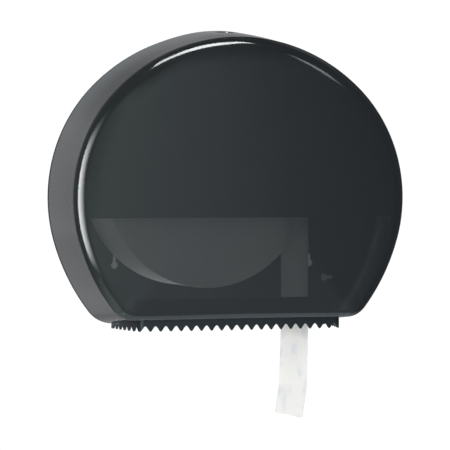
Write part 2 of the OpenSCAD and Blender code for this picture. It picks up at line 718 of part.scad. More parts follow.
front_gaps = 2 * floor((exit_half_w - row_margin) / tooth_pitch + 0.1);
corner_row_y = comb_front_y - comb_corner_r;
side_row = corner_row_y - flange_y;
side_gaps = round(side_row / tooth_pitch);
side_pitch = side_row / side_gaps;
bow_reach = 2 * row_margin;
module comb_gaps() {
    for (i = [0:front_gaps - 1]) translate([(i + 0.5 - front_gaps / 2) * tooth_pitch, 0, tip_z])
        upright(corner_row_y - 0.5, bow_reach) tooth_gap(tooth_pitch);
    both_sides() for (i = [0:side_gaps - 1])
        translate([exit_half_w - bow_reach, -corner_row_y + (i + 0.5) * side_pitch, tip_z])
            rotate([90, 0, 90]) linear_extrude(bow_reach + cut) tooth_gap(side_pitch);
}

comb_side_z = tip_z + comb_side_h;
tab_y = [rim_y + 0.48 * band_depth, rim_y + 0.8 * band_depth];
tab_root = 8;
// Level of a tab's underside, which clears the cover's corner at the tab's front end
function tab_z(y) = let (d = cover_wall + draft_slope * (y + tab_len / 2 - rim_y))
    corner_c[1] - sqrt(pow(corner_r - d, 2) - pow(exit_reach + tab_reach, 2)) + comb_clearance;
tab_screw_x = exit_half_w + tab_reach / 2;

module comb_tabs() both_sides() for (y = tab_y)
    translate([exit_half_w - tab_root, -y - tab_len / 2, tab_z(y)])
        cube([tab_root + tab_reach, tab_len, tab_t]);

module comb_wall() difference() {
    translate([0, 0, tip_z]) linear_extrude(comb_front_h) difference() {
        polygon(whole_comb(0));
        polygon(comb_area(comb_t, 0));
    }
    translate([-cover_w / 2, -corner_row_y + row_margin, comb_side_z])
        cube([cover_w, corner_row_y, comb_front_h]);
    comb_gaps();
}

module comb_knuckle() {
    cross_rod(exit_half_w - comb_t, knuckle_x + knuckle_len - exit_half_w + comb_t, knuckle_d);
    translate([exit_half_w - comb_t, -rim_y - comb_t, hinge_z - knuckle_d / 2])
        cube([comb_t, rim_y + comb_t - hinge_y, knuckle_d]);
}

module tear_comb() color("black") difference() {
    union() {
        comb_wall();
        difference() {
            comb_tabs();
            translate([0, 0, tip_z]) linear_extrude(comb_front_h) polygon(comb_area(comb_t - eps, 0));
        }
        both_sides() comb_knuckle();
    }
    both_sides() {
        cross_rod(exit_half_w - tab_root, knuckle_len + 2 * tab_root, hinge_pin_d + 2 * run_gap);
        for (y = tab_y) translate([tab_screw_x, -y, tab_z(y) - cut])
            cylinder(h = tab_t + 2 * cut, d = screw_hole_d);
    }
}

module comb_screws() color("silver") both_sides() for (y = tab_y)
    translate([tab_screw_x, -y, tab_z(y) + tab_t]) {
        cylinder(h = screw_head_h, d = screw_head_d);
        translate([0, 0, -cover_screw]) cylinder(h = cover_screw + eps, d = screw_d);
    }

// ---- Cover and mask ----
outer_skin = skin(0, outer_arcs, outer_low, front_depth, 5, 1);
inner_skin = skin(cover_wall, inner_arcs, inner_low, front_depth - cover_wall, 1, 0);

module front_cover() color("darkslategray") difference() {
    shell(outer_skin, [crown_c[0], -rim_y - front_depth, crown_c[1]],
        inner_skin, [crown_c[0], -rim_y - front_depth + cover_wall, crown_c[1]]);
    translate([0, 0, tip_z]) linear_extrude(comb_side_h)
        polygon(comb_area(-comb_clearance, rim_y - cut));
    translate([0, -lock_y, lock_top_z - cut]) cylinder(h = 4 * cut, d = key_window_d);
    both_sides() for (y = tab_y)
        translate([tab_screw_x, -y, tab_z(y) + tab_t - cover_screw - eps])
            cylinder(h = 2 * cut, d = screw_hole_d);
    for (y = strike_screw_y) translate([strike_screw_x, -y, roof_z(y) - roof_t])
        cylinder(h = roof_t - strike_head_z + strike_screw + eps, d = screw_hole_d);
}

mask_front = front_depth - cover_wall - mask_gap;
mask_edge = 0.985;
function mask_skin(back) = [for (j = [0:crown_steps - 1])
    [for (p = crown_ring(inner_arcs, inner_low, front_depth - cover_wall,
        mask_edge * (1 - j / crown_steps))) p + [0, mask_gap + back, 0]]];

module cover_mask() color("black") difference() {
    shell(mask_skin(0), [crown_c[0], -rim_y - mask_front, crown_c[1]],
        mask_skin(mask_t), [crown_c[0], -rim_y - mask_front + mask_t, crown_c[1]]);
    translate([-cover_w, -2 * front_depth, -mask_drop - cover_w])
        cube([2 * cover_w, 2 * front_depth, cover_w]);
}

// ---- Lock ----
barrel_top_z = housing_z + housing_h + end_gap;
cam_z = housing_z - 3 * end_gap - cam_t;
cam_floor = 14;

module lock_housing() color("gray") difference() {
    union() {
        translate([-housing_w / 2, -lock_y - barrel_d / 2 - housing_wall, housing_z])
            cube([housing_w, lock_y + barrel_d / 2 + housing_wall - panel_t, housing_h]);
        translate([-ears_w / 2, -panel_t - housing_wall, housing_z])
            cube([ears_w, housing_wall, ears_h]);
    }
    translate([0, -lock_y, housing_z - cut])
        cylinder(h = housing_h + 2 * cut, d = barrel_d + 2 * run_gap);
    translate([-housing_w / 2 + housing_wall, -lock_y + barrel_d / 2 + housing_wall,
        housing_z - cut])
        cube([housing_w - 2 * housing_wall, lock_y - barrel_d / 2 - 3 * housing_wall - panel_t,
            housing_h - housing_wall + cut]);
    both_sides() rod(housing_screw_x, housing_screw_z, 0, panel_t + housing_wall + cut,
        screw_hole_d);
}

module lock_screws() color("silver") both_sides()
    pan_screw(housing_screw_x, housing_screw_z, panel_t + housing_wall, short_screw);

module lock_barrel() color("silver") translate([0, -lock_y, 0]) difference() {
    union() {
        translate([0, 0, housing_z - 2 * end_gap])
            cylinder(h = lock_top_z - housing_z + 2 * end_gap, d = barrel_d);
        translate([0, 0, barrel_top_z]) cylinder(h = collar_w, d = barrel_d + 2 * collar_w);
        translate([0, 0, cam_z]) cylinder(h = cam_t + cut, d = tang_d);
    }
    translate([-key_slot_len / 2, -key_slot_w / 2, lock_top_z - key_slot_depth])
        cube([key_slot_len, key_slot_w, key_slot_depth + cut]);
    translate([0, 0, lock_top_z - key_slot_depth])
        cylinder(h = key_slot_depth + cut, d = 2 * key_slot_w);
    translate([0, 0, cam_z - cut]) cylinder(h = cam_floor + cut, d = cam_screw_d + 2 * run_gap);
}

module lock_cam() color("silver") translate([0, -lock_y, cam_z]) difference() {
    union() {
        cylinder(h = cam_t, d = cam_boss_d);
        translate([-cam_w / 2, -cam_len + cam_w / 2, 0]) cube([cam_w, cam_len - cam_w / 2, cam_t]);
        translate([0, -cam_len + cam_w / 2, 0]) cylinder(h = cam_t, d = cam_w);
    }
    translate([0, 0, -cut]) cylinder(h = cam_t + 2 * cut, d = tang_d + 2 * eps);
}

module cam_screw() color("silver") translate([0, -lock_y, cam_z - cam_head_h]) {
    cylinder(h = cam_head_h - eps, d = cam_head_d);
    cylinder(h = 3 * cam_head_h + cam_t, d = cam_screw_d);
}

// ---- Strike: a plate under the cover's top that the cam arm reaches through ----
strike_y0 = lock_y - cam_w / 2 - strike_play / 2.5;
strike_rear_y = strike_y0 - strike_post;
strike_front_y = strike_y0 + cam_len + strike_post / 2;
strike_bottom_z = cam_z - strike_post;
strike_screw_x = strike_x + strike_t + strike_post;
strike_screw_y = [strike_y0, strike_front_y - strike_post - 1];
// Drop of the strike screws' heads below the roof flange's top
strike_head_z = roof_t + screw_head_h + end_gap;
// Level of the roof flange's top under the cover's wall
function roof_z(y) = top_c[1] + sqrt(pow(top_r - cover_wall, 2) - pow(strike_x + roof_w, 2))
    - draft_slope * (y - rim_y) - end_gap;

module strike_profile() difference() {
    polygon([[-strike_rear_y, roof_z(strike_rear_y)], [-strike_rear_y, strike_bottom_z],
        [-strike_front_y, strike_bottom_z], [-strike_front_y, roof_z(strike_front_y)]]);
    translate([-strike_front_y + 4, cam_z - strike_play])
        square([strike_front_y - strike_y0 - 4, cam_t + 2 * strike_play]);
}

module strike_roof() polygon([
    [-strike_rear_y, roof_z(strike_rear_y)], [-strike_rear_y, roof_z(strike_rear_y) - roof_t],
    [-strike_front_y, roof_z(strike_front_y) - roof_t],
    [-strike_front_y, roof_z(strike_front_y)]]);

module cover_strike() color("silver") difference() {
    translate([strike_x, 0, 0]) rotate([90, 0, 90]) {
        linear_extrude(strike_t) strike_profile();
        linear_extrude(roof_w) strike_roof();
    }
    for (y = strike_screw_y) translate([strike_screw_x, -y, roof_z(y) - cut])
        cylinder(h = 2 * cut, d = screw_hole_d);
}

module strike_screws() color("silver") for (y = strike_screw_y)
    translate([strike_screw_x, -y, roof_z(y) - strike_head_z]) {
        cylinder(h = screw_head_h, d = screw_head_d);
        cylinder(h = strike_screw, d = screw_d);
    }

rear_chassis();
hinge_pins();
roll_spindle();
spindle_screws();
spindle_retainer();
stub_spindle();
stub_screws();
stub_retainer();
brake_spring();
brake_screw();
lock_housing();
lock_screws();
roll_hub();
roll_core();
paper_roll();
paper_tail();
stub_hub();
front_cover();
cover_mask();
tear_comb();
comb_screws();
cover_strike();
strike_screws();
lock_barrel();
lock_cam();
cam_screw();
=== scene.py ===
"""Looks of a wall-mounted jumbo toilet roll dispenser with a smoke-tinted, hinged cover.

Lengths are metres in the part's own frame: the wall is y = 0, the front faces -Y and z is up.
Directions in the studio are degrees: azimuth to the right of the front, elevation above level.
"""

import json
import math
import random

import bpy
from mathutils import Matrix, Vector


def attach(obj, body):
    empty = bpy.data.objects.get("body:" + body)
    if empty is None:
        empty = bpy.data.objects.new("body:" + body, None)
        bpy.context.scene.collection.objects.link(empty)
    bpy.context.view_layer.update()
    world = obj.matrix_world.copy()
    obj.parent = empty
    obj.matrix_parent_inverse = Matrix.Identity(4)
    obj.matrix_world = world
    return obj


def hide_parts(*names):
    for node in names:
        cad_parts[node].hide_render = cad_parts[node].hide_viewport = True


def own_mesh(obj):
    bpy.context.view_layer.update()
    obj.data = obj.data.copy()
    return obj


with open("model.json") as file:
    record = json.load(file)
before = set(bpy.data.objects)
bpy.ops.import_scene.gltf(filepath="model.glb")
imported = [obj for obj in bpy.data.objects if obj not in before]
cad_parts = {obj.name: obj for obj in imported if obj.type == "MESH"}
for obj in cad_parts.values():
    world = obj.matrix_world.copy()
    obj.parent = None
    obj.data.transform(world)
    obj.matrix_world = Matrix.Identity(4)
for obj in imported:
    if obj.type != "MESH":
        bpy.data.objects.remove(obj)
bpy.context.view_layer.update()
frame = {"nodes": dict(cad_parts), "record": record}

MM = 0.001

# ---- Camera: the photograph's viewpoint, taken as a 450 x 450 picture ----
PICTURE = 450
VIEW_AZIMUTH = math.radians(18.9)
VIEW_DOWN = math.radians(1.4)
CAMERA_PLACE = Vector((-1.1443, -3.3911, 0.0521))
FOCAL_PIXELS = 2881.0
SENSOR = 36.0


def add_camera():
    data = bpy.data.cameras.new("camera")
    data.sensor_width = SENSOR
    data.lens = FOCAL_PIXELS / PICTURE * SENSOR
    data.clip_end = 100
    camera = bpy.data.objects.new("camera", data)
    bpy.context.scene.collection.objects.link(camera)
    camera.location = CAMERA_PLACE
    camera.rotation_euler = (math.pi / 2 - VIEW_DOWN, 0, -VIEW_AZIMUTH)
    bpy.context.scene.camera = camera


# ---- Node trees and meshes ----
class Graph:
    """Short calls that build one node tree."""

    def __init__(self, tree):
        self.tree = tree
        tree.nodes.clear()

    def feed(self, socket, value):
        if isinstance(value, bpy.types.NodeSocket):
            self.tree.links.new(value, socket)
        else:
            socket.default_value = value

    def node(self, kind, inputs=None, **settings):
        made = self.tree.nodes.new(kind)
        for name, value in settings.items():
            setattr(made, name, value)
        for name, value in (inputs or {}).items():
            self.feed(made.inputs[name], value)
        return made

    def math(self, operation, a, b=0.0):
        return self.node("ShaderNodeMath", {0: a, 1: b}, operation=operation).outputs[0]

    def plus(self, first, *others):
        for value in others:
            first = self.math("ADD", first, value)
        return first

    def times(self, first, *others):
        for value in others:
            first = self.math("MULTIPLY", first, value)
        return first

    def minus(self, a, b):
        return self.math("SUBTRACT", a, b)

    def over(self, a, b):
        return self.math("DIVIDE", a, b)

    def ramp(self, value, low, high, to_low=0.0, to_high=1.0, smooth=True):
        """to_low at low, to_high at high, and held at these beyond."""
        made = self.node(
            "ShaderNodeMapRange",
            {0: value, 1: low, 2: high, 3: to_low, 4: to_high},
            interpolation_type="SMOOTHSTEP" if smooth else "LINEAR",
        )
        return made.outputs[0]

    def between(self, value, low, high, soft):
        """1 inside low..high, falling to 0 over soft on each side."""
        return self.times(
            self.ramp(value, low - soft, low), self.ramp(value, high, high + soft, 1.0, 0.0)
        )

    def mix(self, factor, a, b):
        """From colour a to colour b."""
        made = self.node("ShaderNodeMix", data_type="RGBA")
        for name, value in (("Factor", factor), ("A", a), ("B", b)):
            self.feed(made.inputs[name], value)
        return made.outputs["Result"]

    def blend(self, factor, a, b):
        """From number a to number b."""
        return self.node("ShaderNodeMix", {0: factor, 2: a, 3: b}, data_type="FLOAT").outputs[0]

    def axes(self, vector):
        return self.node("ShaderNodeSeparateXYZ", {"Vector": vector}).outputs

    def joined(self, **parts):
        return self.node("ShaderNodeCombineXYZ", parts).outputs[0]

    def stretched(self, vector, scale):
        return self.node("ShaderNodeMapping", {"Vector": vector, "Scale": scale}).outputs[0]

    def noise(self, vector, scale, detail=2.0, roughness=0.5):
        made = self.node(
            "ShaderNodeTexNoise",
            {"Vector": vector, "Scale": scale, "Detail": detail, "Roughness": roughness},
        )
        return made.outputs["Fac"]

    def bump(self, height, strength, distance):
        made = self.node(
            "ShaderNodeBump", {"Height": height, "Strength": strength, "Distance": distance}
        )
        return made.outputs["Normal"]

    def curve(self, value, points):
        """Straight lines through (place, height) points, with both from 0 to 1."""
        made = self.node("ShaderNodeFloatCurve", {"Value": value})
        handles = made.mapping.curves[0].points
        for place, height in points[1:-1]:
            handles.new(place, height)
        for handle, (place, height) in zip(handles, points):
            handle.location = (place, height)
            handle.handle_type = "VECTOR"
        made.mapping.update()
        return made.outputs[0]


def material(name):
    """A new material, its graph, and the point's place on its own object."""
    made = bpy.data.materials.new(name)
    made.use_nodes = True
    g = Graph(made.node_tree)
    return made, g, g.node("ShaderNodeTexCoord").outputs["Object"]


def surface(g, inputs):
    skin = g.node("ShaderNodeBsdfPrincipled", inputs)
    g.node("ShaderNodeOutputMaterial", {"Surface": skin.outputs[0]})


def link(name, mesh):
    thing = bpy.data.objects.new(name, mesh)
    bpy.context.scene.collection.objects.link(thing)
    return thing


def mesh_from(name, points, faces):
    mesh = bpy.data.meshes.new(name)
    mesh.from_pydata(points, [], faces)
    mesh.validate()
    mesh.update()
    return mesh


def shade_smooth(thing):
    for face in thing.data.polygons:
        face.use_smooth = True


def set_sharp(thing, degrees):
    """Edges bent by more than these degrees stay hard."""
    thing.data.set_sharp_from_angle(angle=math.radians(degrees))


def mix(a, b, t):
    return a + (b - a) * t


def smooth(t):
    return t * t * (3 - 2 * t)


# ---- Studio: light by direction, though the camera sees plain white ----
# Radiance of the walls near the horizon, as (azimuth, radiance)
SURROUND = (
    (-180, 0.45), (-168, 0.8), (-155, 1.02), (-142, 0.72), (-127, 0.62), (-97, 0.52), (-80, 0.6),
    (-60, 0.68), (-45, 0.66), (-14, 0.6), (-8, 0.62), (0, 1.16), (8, 0.97), (16, 0.82), (24, 0.62),
    (32, 0.52), (40, 0.43), (48, 0.36), (60, 0.33), (75, 0.33), (85, 0.12), (97, 0.3),
    (112, 0.42), (180, 0.45),
)
# The same higher up, under the ceiling
SURROUND_HIGH = (
    (-180, 0.42), (-168, 0.58), (-150, 0.62), (-130, 0.62), (-60, 0.56), (-10, 0.5), (10, 0.42),
    (30, 0.36), (75, 0.36), (90, 0.15), (120, 0.25), (180, 0.42),
)
# Darker corners behind the left: azimuths and soft edge, elevations, and how much is lost
DARK_CORNERS = (
    ((-145.0, -95.0, 12.0), (-6.0, -16.0), 0.35),
    ((-158.0, -125.0, 8.0), (-17.0, -25.0), 0.4),
)
# Most that the walls give well below the horizon, and what is left of the light overhead
LOW_LIMIT = 0.85
CEILING_SHARE = 0.8

# The tall soft box at the left, across its width and up its height
TALL_BOX_MIDDLE = -32.0
TALL_BOX = (
    (-180, 0), (-45, 0), (-42.5, 2), (-39.5, 11.5), (-36.5, 18), (-33.5, 19.5), (-27.5, 16),
    (-24.5, 12.5), (-18.5, 9), (-15.5, 6.4), (-12.5, 3.2), (-9.5, 0.5), (-7, 0), (180, 0),
)
TALL_BOX_UP = (
    (-90, 1), (6, 1), (11.2, 0.82), (13.8, 0.73), (16.2, 0.54), (18.8, 0.33), (21.2, 0.17),
    (23.8, 0.06), (26, 0), (90, 0),
)
# The long box overhead, the faint strip high on the right and the bright sheet below
OVERHEAD_LEFT = -6.0
OVERHEAD_RIGHT = 27.0
STRIP_RADIANCE = 4.0
SWEEP_RADIANCE = 1.65
NEARLY_LEVEL = 0.001

# The even tent that matt surfaces see: where it is brighter, and its two levels
TENT_BRIGHT_WAY = (-0.76, -0.18, -0.62)
TENT_LEVELS = (1.06, 1.58)

# What the camera sees: the white backdrop, and through the tinted cover painted shade, the wall
# behind in shadow, which is paler from keyhole to keyhole below a level and nearly dark elsewhere
WHITE = 1.05
BEHIND_COVER = 0.34
BEHIND_DARK = 0.03
KEYHOLE_AZIMUTHS = (158.9, 163.41)
KEYHOLE_ELEVATIONS = (-0.95, -1.05)

NEUTRAL = (1.0, 1.0, 1.0, 1.0)
LEFT_TINT = (0.89, 1.0, 0.96, 1.0)
FRONT_TINT = (0.935, 1.0, 1.065, 1.0)
FAR_TINT = (0.995, 1.0, 1.027, 1.0)
LAMP_TINT = (1.045, 1.0, 0.978, 1.0)
BACKDROP_TINT = (0.975, 0.99, 1.0, 1.0)


def by_angle(g, angle, span, table):
    """A level set by an angle, through (degrees, level) points from -span to span."""
    top = max(level for _, level in table)
    turn = g.ramp(angle, -span, span, smooth=False)
    points = [((a + span) / (2 * span), level / top) for a, level in table]
    return g.times(g.curve(turn, points), float(top))


def surround_light(g, azimuth, elevation):
    """Walls of the studio: a soft glow in front that fades upwards, and a dim ceiling."""
    level = by_angle(g, azimuth, 180.0, SURROUND)
    high = by_angle(g, azimuth, 180.0, SURROUND_HIGH)
    fade_from = g.ramp(azimuth, 0.0, 10.0, 16.5, 21.5)
    level = g.blend(g.ramp(g.minus(elevation, fade_from), 0.0, 9.0), level, high)
    limited = g.math("MINIMUM", level, LOW_LIMIT)
    level = g.blend(g.ramp(elevation, -9.0, -14.0), level, limited)
    for across, down, lost in DARK_CORNERS:
        dark = g.times(g.between(azimuth, *across), g.ramp(elevation, *down, 0.0, lost))
        level = g.times(level, g.minus(1.0, dark))
    return g.times(level, g.ramp(elevation, 50.0, 66.0, 1.0, CEILING_SHARE))


def pale_sweep(g, azimuth, way, level):
    """A bright sheet lying below and in front, which lights the underside.

    Places on the sheet are given as multiples of its depth below the part.
    """
    x, y, z = way
    depth = g.math("MAXIMUM", g.times(z, -1.0), NEARLY_LEVEL)
    across = g.math("ABSOLUTE", g.over(x, depth))
    ahead = g.over(g.times(y, -1.0), depth)
    # The front edge fades from near to far, and both depend on the azimuth
    middle = g.ramp(azimuth, 12.0, 21.0)
    right = g.ramp(azimuth, 24.0, 29.0)
    near = g.blend(right, g.blend(middle, 1.8, 1.66), 1.9)
    far = g.blend(right, g.blend(middle, 2.9, 2.0), 2.4)
    reach = g.over(g.minus(far, ahead), g.minus(far, near))
    sheet = g.times(
        g.ramp(across, 0.6, 1.4, 1.0, 0.0),
        g.ramp(reach, 0.0, 1.0),
        g.ramp(ahead, -0.7, -0.3),
        g.ramp(z, -0.17, -0.3),
    )
    return g.blend(sheet, level, SWEEP_RADIANCE)


def tall_box(g, azimuth, elevation):
    """A tall box at the left, narrower in its upper part, with a slanting foot."""
    foot = g.ramp(azimuth, -36.0, -14.0, -24.0, -18.8, smooth=False)
    narrow = g.ramp(elevation, -2.0, 8.0, 1.0, 1.2)
    across = g.plus(g.times(g.minus(azimuth, TALL_BOX_MIDDLE), narrow), TALL_BOX_MIDDLE)
    return g.times(
        by_angle(g, across, 180.0, TALL_BOX),
        by_angle(g, elevation, 90.0, TALL_BOX_UP),
        g.ramp(g.minus(elevation, foot), 0.0, 8.5),
        g.ramp(elevation, -17.0, -4.0, 0.86, 1.0),
    )


def overhead_box(g, azimuth, elevation):
    """A long box overhead, brighter to the right, whose edges bend a little."""
    lean = g.ramp(elevation, 40.0, 46.0, -1.2, 1.2)
    lower = g.plus(g.ramp(azimuth, 6.0, 16.0, 0.7, 0.0), g.ramp(azimuth, 19.0, 26.0, 0.0, 1.7))
    upper = g.minus(
        g.ramp(azimuth, 10.0, OVERHEAD_RIGHT, 48.6, 44.3), g.ramp(azimuth, -8.0, 2.0, 1.0, 0.0)
    )
    return g.times(
        g.between(g.plus(azimuth, lean), OVERHEAD_LEFT, OVERHEAD_RIGHT, 1.6),
        g.ramp(g.minus(elevation, lower), 36.6, 40.4),
        g.ramp(g.minus(elevation, upper), -2.4, 3.0, 1.0, 0.0),
        g.ramp(azimuth, OVERHEAD_LEFT, 13.0, 15.5, 22.5),
    )


def corner_strip(g, azimuth, elevation):
    """A faint slanting strip high on the right."""
    slant = g.plus(elevation, g.times(azimuth, 0.9))
    edges = g.times(g.between(slant, 55.4, 57.6, 0.5), g.between(azimuth, 34.6, 37.6, 3.2))
    return g.times(edges, STRIP_RADIANCE)


def even_tent(g, way):
    """Even light for matt surfaces, with a little more from the lower left."""
    facing = g.node("ShaderNodeVectorMath", {0: way, 1: TENT_BRIGHT_WAY}, operation="DOT_PRODUCT")
    return g.blend(g.ramp(facing.outputs["Value"], 0.2, 1.0), *TENT_LEVELS)


def studio_tint(g, azimuth, level):
    """Greenish walls at the left, bluish ones in front; the far side and lamps nearly neutral."""
    tint = g.mix(g.ramp(azimuth, -2.0, 14.0), LEFT_TINT, FRONT_TINT)
    away = g.ramp(g.math("ABSOLUTE", azimuth), 100.0, 135.0)
    tint = g.mix(away, tint, FAR_TINT)
    return g.mix(g.ramp(level, 1.7, 4.0), tint, LAMP_TINT)


def backdrop(g, azimuth, elevation, passes):
    """What the camera sees: plain white, but after it has passed the tinted cover, painted shade:
    the wall behind in shadow.
    """
    right_end = g.ramp(azimuth, 159.26, 159.36, 0.34, 1.0)
    left_end = g.ramp(azimuth, 161.0, 162.0, 1.02, 1.05)
    pale = g.times(
        g.between(azimuth, *KEYHOLE_AZIMUTHS, 0.02),
        g.ramp(elevation, *KEYHOLE_ELEVATIONS),
        g.times(right_end, left_end),
    )
    return g.ramp(passes, 0.4, 0.6, WHITE, g.blend(pale, BEHIND_DARK, BEHIND_COVER))


def add_world():
    world = bpy.data.worlds.new("studio")
    bpy.context.scene.world = world
    world.use_nodes = True
    world.cycles.sampling_method = "NONE"
    g = Graph(world.node_tree)
    way = g.node("ShaderNodeTexCoord").outputs["Generated"]
    x, y, z = g.axes(way)
    azimuth = g.math("DEGREES", g.math("ARCTAN2", x, g.times(y, -1.0)))
    elevation = g.math("DEGREES", g.math("ARCSINE", z))
    level = pale_sweep(g, azimuth, (x, y, z), surround_light(g, azimuth, elevation))
    lamps = [box(g, azimuth, elevation) for box in (tall_box, overhead_box, corner_strip)]
    level = g.plus(level, g.plus(*lamps))

    path = g.node("ShaderNodeLightPath").outputs
    matt, seen = path["Is Diffuse Ray"], path["Is Camera Ray"]
    tint = g.mix(matt, studio_tint(g, azimuth, level), NEUTRAL)
    level = g.blend(matt, level, even_tent(g, way))
    shown = backdrop(g, azimuth, elevation, path["Transparent Depth"])
    light = g.node(
        "ShaderNodeBackground",
        {"Color": g.mix(seen, tint, BACKDROP_TINT), "Strength": g.blend(seen, level, shown)},
    )
    g.node("ShaderNodeOutputWorld", {"Surface": light.outputs[0]})


FLOOR_DROP = 1.1
FLOOR_RADIUS = 2.1
FLOOR_SIDES = 128


def add_floor():
    rim = [2 * math.pi * i / FLOOR_SIDES for i in range(FLOOR_SIDES)]
    points = [(FLOOR_RADIUS * math.cos(a), FLOOR_RADIUS * math.sin(a), -FLOOR_DROP) for a in rim]
    floor = link("floor", mesh_from("floor", points, [tuple(range(FLOOR_SIDES))]))
    made, g, spot = material("pale_floor")
    shade = g.ramp(g.noise(spot, 3.0), 0.3, 0.7)
    surface(
        g,
        {
            "Base Color": g.mix(shade, (0.86, 0.86, 0.86, 1), (0.88, 0.88, 0.88, 1)),
            "Roughness": 0.8,
            "Emission Color": NEUTRAL,
            "Emission Strength": 0.3,
        },
    )
    floor.data.materials.append(made)
    floor.visible_glossy = False
    floor.visible_diffuse = False


# ---- Outline and section of the cover ----
COVER_W = 437 * MM
COVER_TOP = 202.5 * MM
COVER_DROP = 154 * MM
SIDE_R = 191.8 * MM
SIDE_TURN = math.radians(16)
LOWER_R = 254 * MM
CORNER_R = 40 * MM
RIM_Y = 24 * MM
BAND_DEPTH = 84.7 * MM
BOTTOM_EXTRA = 4 * MM
BAND_DRAFT = 8.1 * MM
SHOULDER = (15 * MM, 8.5 * MM)
LOW_SHOULDER = (6.6 * MM, 4.4 * MM)
CROWN_H = 15.8 * MM
CROWN_Z = 25 * MM
CROWN_AXES = (200 * MM, 168 * MM)
COVER_WALL = 3 * MM
PAD_H = 2.2 * MM
PAD_HALF_W = 80 * MM
KEY_WINDOW_R = 12.2 * MM
LOCK_Y = 52 * MM
COVER_SHARP = 32
# Steps along the arcs of one half of the outline: top, side, lower side, corner and flat bottom
TOP_STEPS, SIDE_STEPS, LOWER_STEPS, CORNER_STEPS, FLAT_STEPS = 36, 48, 14, 24, 16
BAND_STEPS = 18
SHOULDER_STEPS = 14
CROWN_STEPS = 26

half_w = COVER_W / 2
bottom_z = -COVER_DROP
draft_slope = BAND_DRAFT / BAND_DEPTH
front_depth = BAND_DEPTH + SHOULDER[1] + CROWN_H


def outline_of_cover():
    """Tangent arcs round the cover, as (x, z, normal x, normal z, share of the bottom)."""
    top_r = ((half_w - SIDE_R) ** 2 + COVER_TOP**2 - SIDE_R**2) / (2 * (COVER_TOP - SIDE_R))
    top_c = (0.0, COVER_TOP - top_r)
    side_c = (half_w - SIDE_R, 0.0)
    top_turn = math.atan2(side_c[0] - top_c[0], side_c[1] - top_c[1])
    side_end = math.pi / 2 + SIDE_TURN
    reach = SIDE_R - LOWER_R
    lower_c = (side_c[0] + reach * math.cos(SIDE_TURN), side_c[1] - reach * math.sin(SIDE_TURN))
    corner_z = bottom_z + CORNER_R
    corner_x = lower_c[0] + math.sqrt((LOWER_R - CORNER_R) ** 2 - (corner_z - lower_c[1]) ** 2)
    corner_turn = math.atan2(corner_x - lower_c[0], corner_z - lower_c[1])
    right = [(0.0, COVER_TOP, 0.0, 1.0, 0.0)]

    def arc(centre, radius, start, stop, steps, into_bottom=False):
        for i in range(1, steps + 1):
            t = i / steps
            a = mix(start, stop, t)
            nx, nz = math.sin(a), math.cos(a)
            share = smooth(t) if into_bottom else 0.0
            right.append((centre[0] + radius * nx, centre[1] + radius * nz, nx, nz, share))

    arc(top_c, top_r, 0.0, top_turn, TOP_STEPS)
    arc(side_c, SIDE_R, top_turn, side_end, SIDE_STEPS)
    arc(lower_c, LOWER_R, side_end, corner_turn, LOWER_STEPS)
    arc((corner_x, corner_z), CORNER_R, corner_turn, math.pi, CORNER_STEPS, into_bottom=True)
    for i in range(1, FLAT_STEPS + 1):
        right.append((corner_x * (1 - i / FLAT_STEPS), bottom_z, 0.0, -1.0, 1.0))
    left = [(-x, z, -nx, nz, share) for x, z, nx, nz, share in reversed(right[1:-1])]
    return right + left, corner_x


outline, corner_x = outline_of_cover()
count = len(outline)


def at(p, inset, depth):
    """The point that lies inset from outline point p, at a depth in front of the rear rim."""
    return (p[0] - p[2] * inset, -RIM_Y - depth, p[1] - p[3] * inset)


def crown_reach(p, inset, depth):
    """The way from the crown's middle to its edge, and how far the ellipse reaches that way."""
    x, _, z = at(p, inset, depth)
    way = (x, z - CROWN_Z)
    return way, 1 / math.hypot(way[0] / CROWN_AXES[0], way[1] / CROWN_AXES[1])


def shoulder(p, start, end, front):
    """The shoulder's curve at one outline point, as (inset, depth); it runs into the crown."""
    way, reach = crown_reach(p, *end)
    outwards = way[0] * p[2] + way[1] * p[3]
    slope = 2 * (front - end[1]) / ((3 - 2 * reach) * outwards)
    width, height = end[0] - start[0], end[1] - start[1]
    lead = (height - slope * width) / (1 - slope * draft_slope)
    control = (start[0] + draft_slope * lead, start[1] + lead)
    curve = []
    for i in range(SHOULDER_STEPS + 1):
        t = i / SHOULDER_STEPS
        weights = ((1 - t) ** 2, 2 * t * (1 - t), t * t)
        points = (start, control, end)
        curve.append([sum(w * q[n] for w, q in zip(weights, points)) for n in (0, 1)])
    return curve


def pad(p, t):
    """Height of the pad round the key window, at share t of the way to the shoulder."""
    if p[1] < 0:
        return 0.0
    return PAD_H * max(0.0, 1 - (p[0] / PAD_HALF_W) ** 2) ** 2 * (1 - t**5) ** 1.5


def cover_skin(rim_inset, upper, low, front, raised):
    """Rings of points from the rear rim over the shoulder to the crown's middle.

    upper and low hold the shoulder's start and end, as (inset, depth), for most of the outline
    and for its straight bottom. raised is the share of the pad that this skin has.
    """
    bounds = [
        [tuple(mix(a, b, p[4]) for a, b in zip(upper[k], low[k])) for k in (0, 1)] for p in outline
    ]
    rings = []
    for i in range(BAND_STEPS):
        t = i / BAND_STEPS
        rings.append([
            at(p, mix(rim_inset, start[0], t) - raised * pad(p, t), start[1] * t)
            for p, (start, end) in zip(outline, bounds)
        ])
    curves = [shoulder(p, start, end, front) for p, (start, end) in zip(outline, bounds)]
    for i in range(SHOULDER_STEPS + 1):
        rings.append([at(p, *curve[i]) for p, curve in zip(outline, curves)])
    for i in range(1, CROWN_STEPS):
        s = 1 - i / CROWN_STEPS
        ring = []
        for p, (start, end) in zip(outline, bounds):
            way, reach = crown_reach(p, *end)
            scale = s * mix(reach, 1.0, s * s)
            y = -RIM_Y - front + (front - end[1]) * s * s
            ring.append((way[0] * scale, y, CROWN_Z + way[1] * scale))
        rings.append(ring)
    return rings


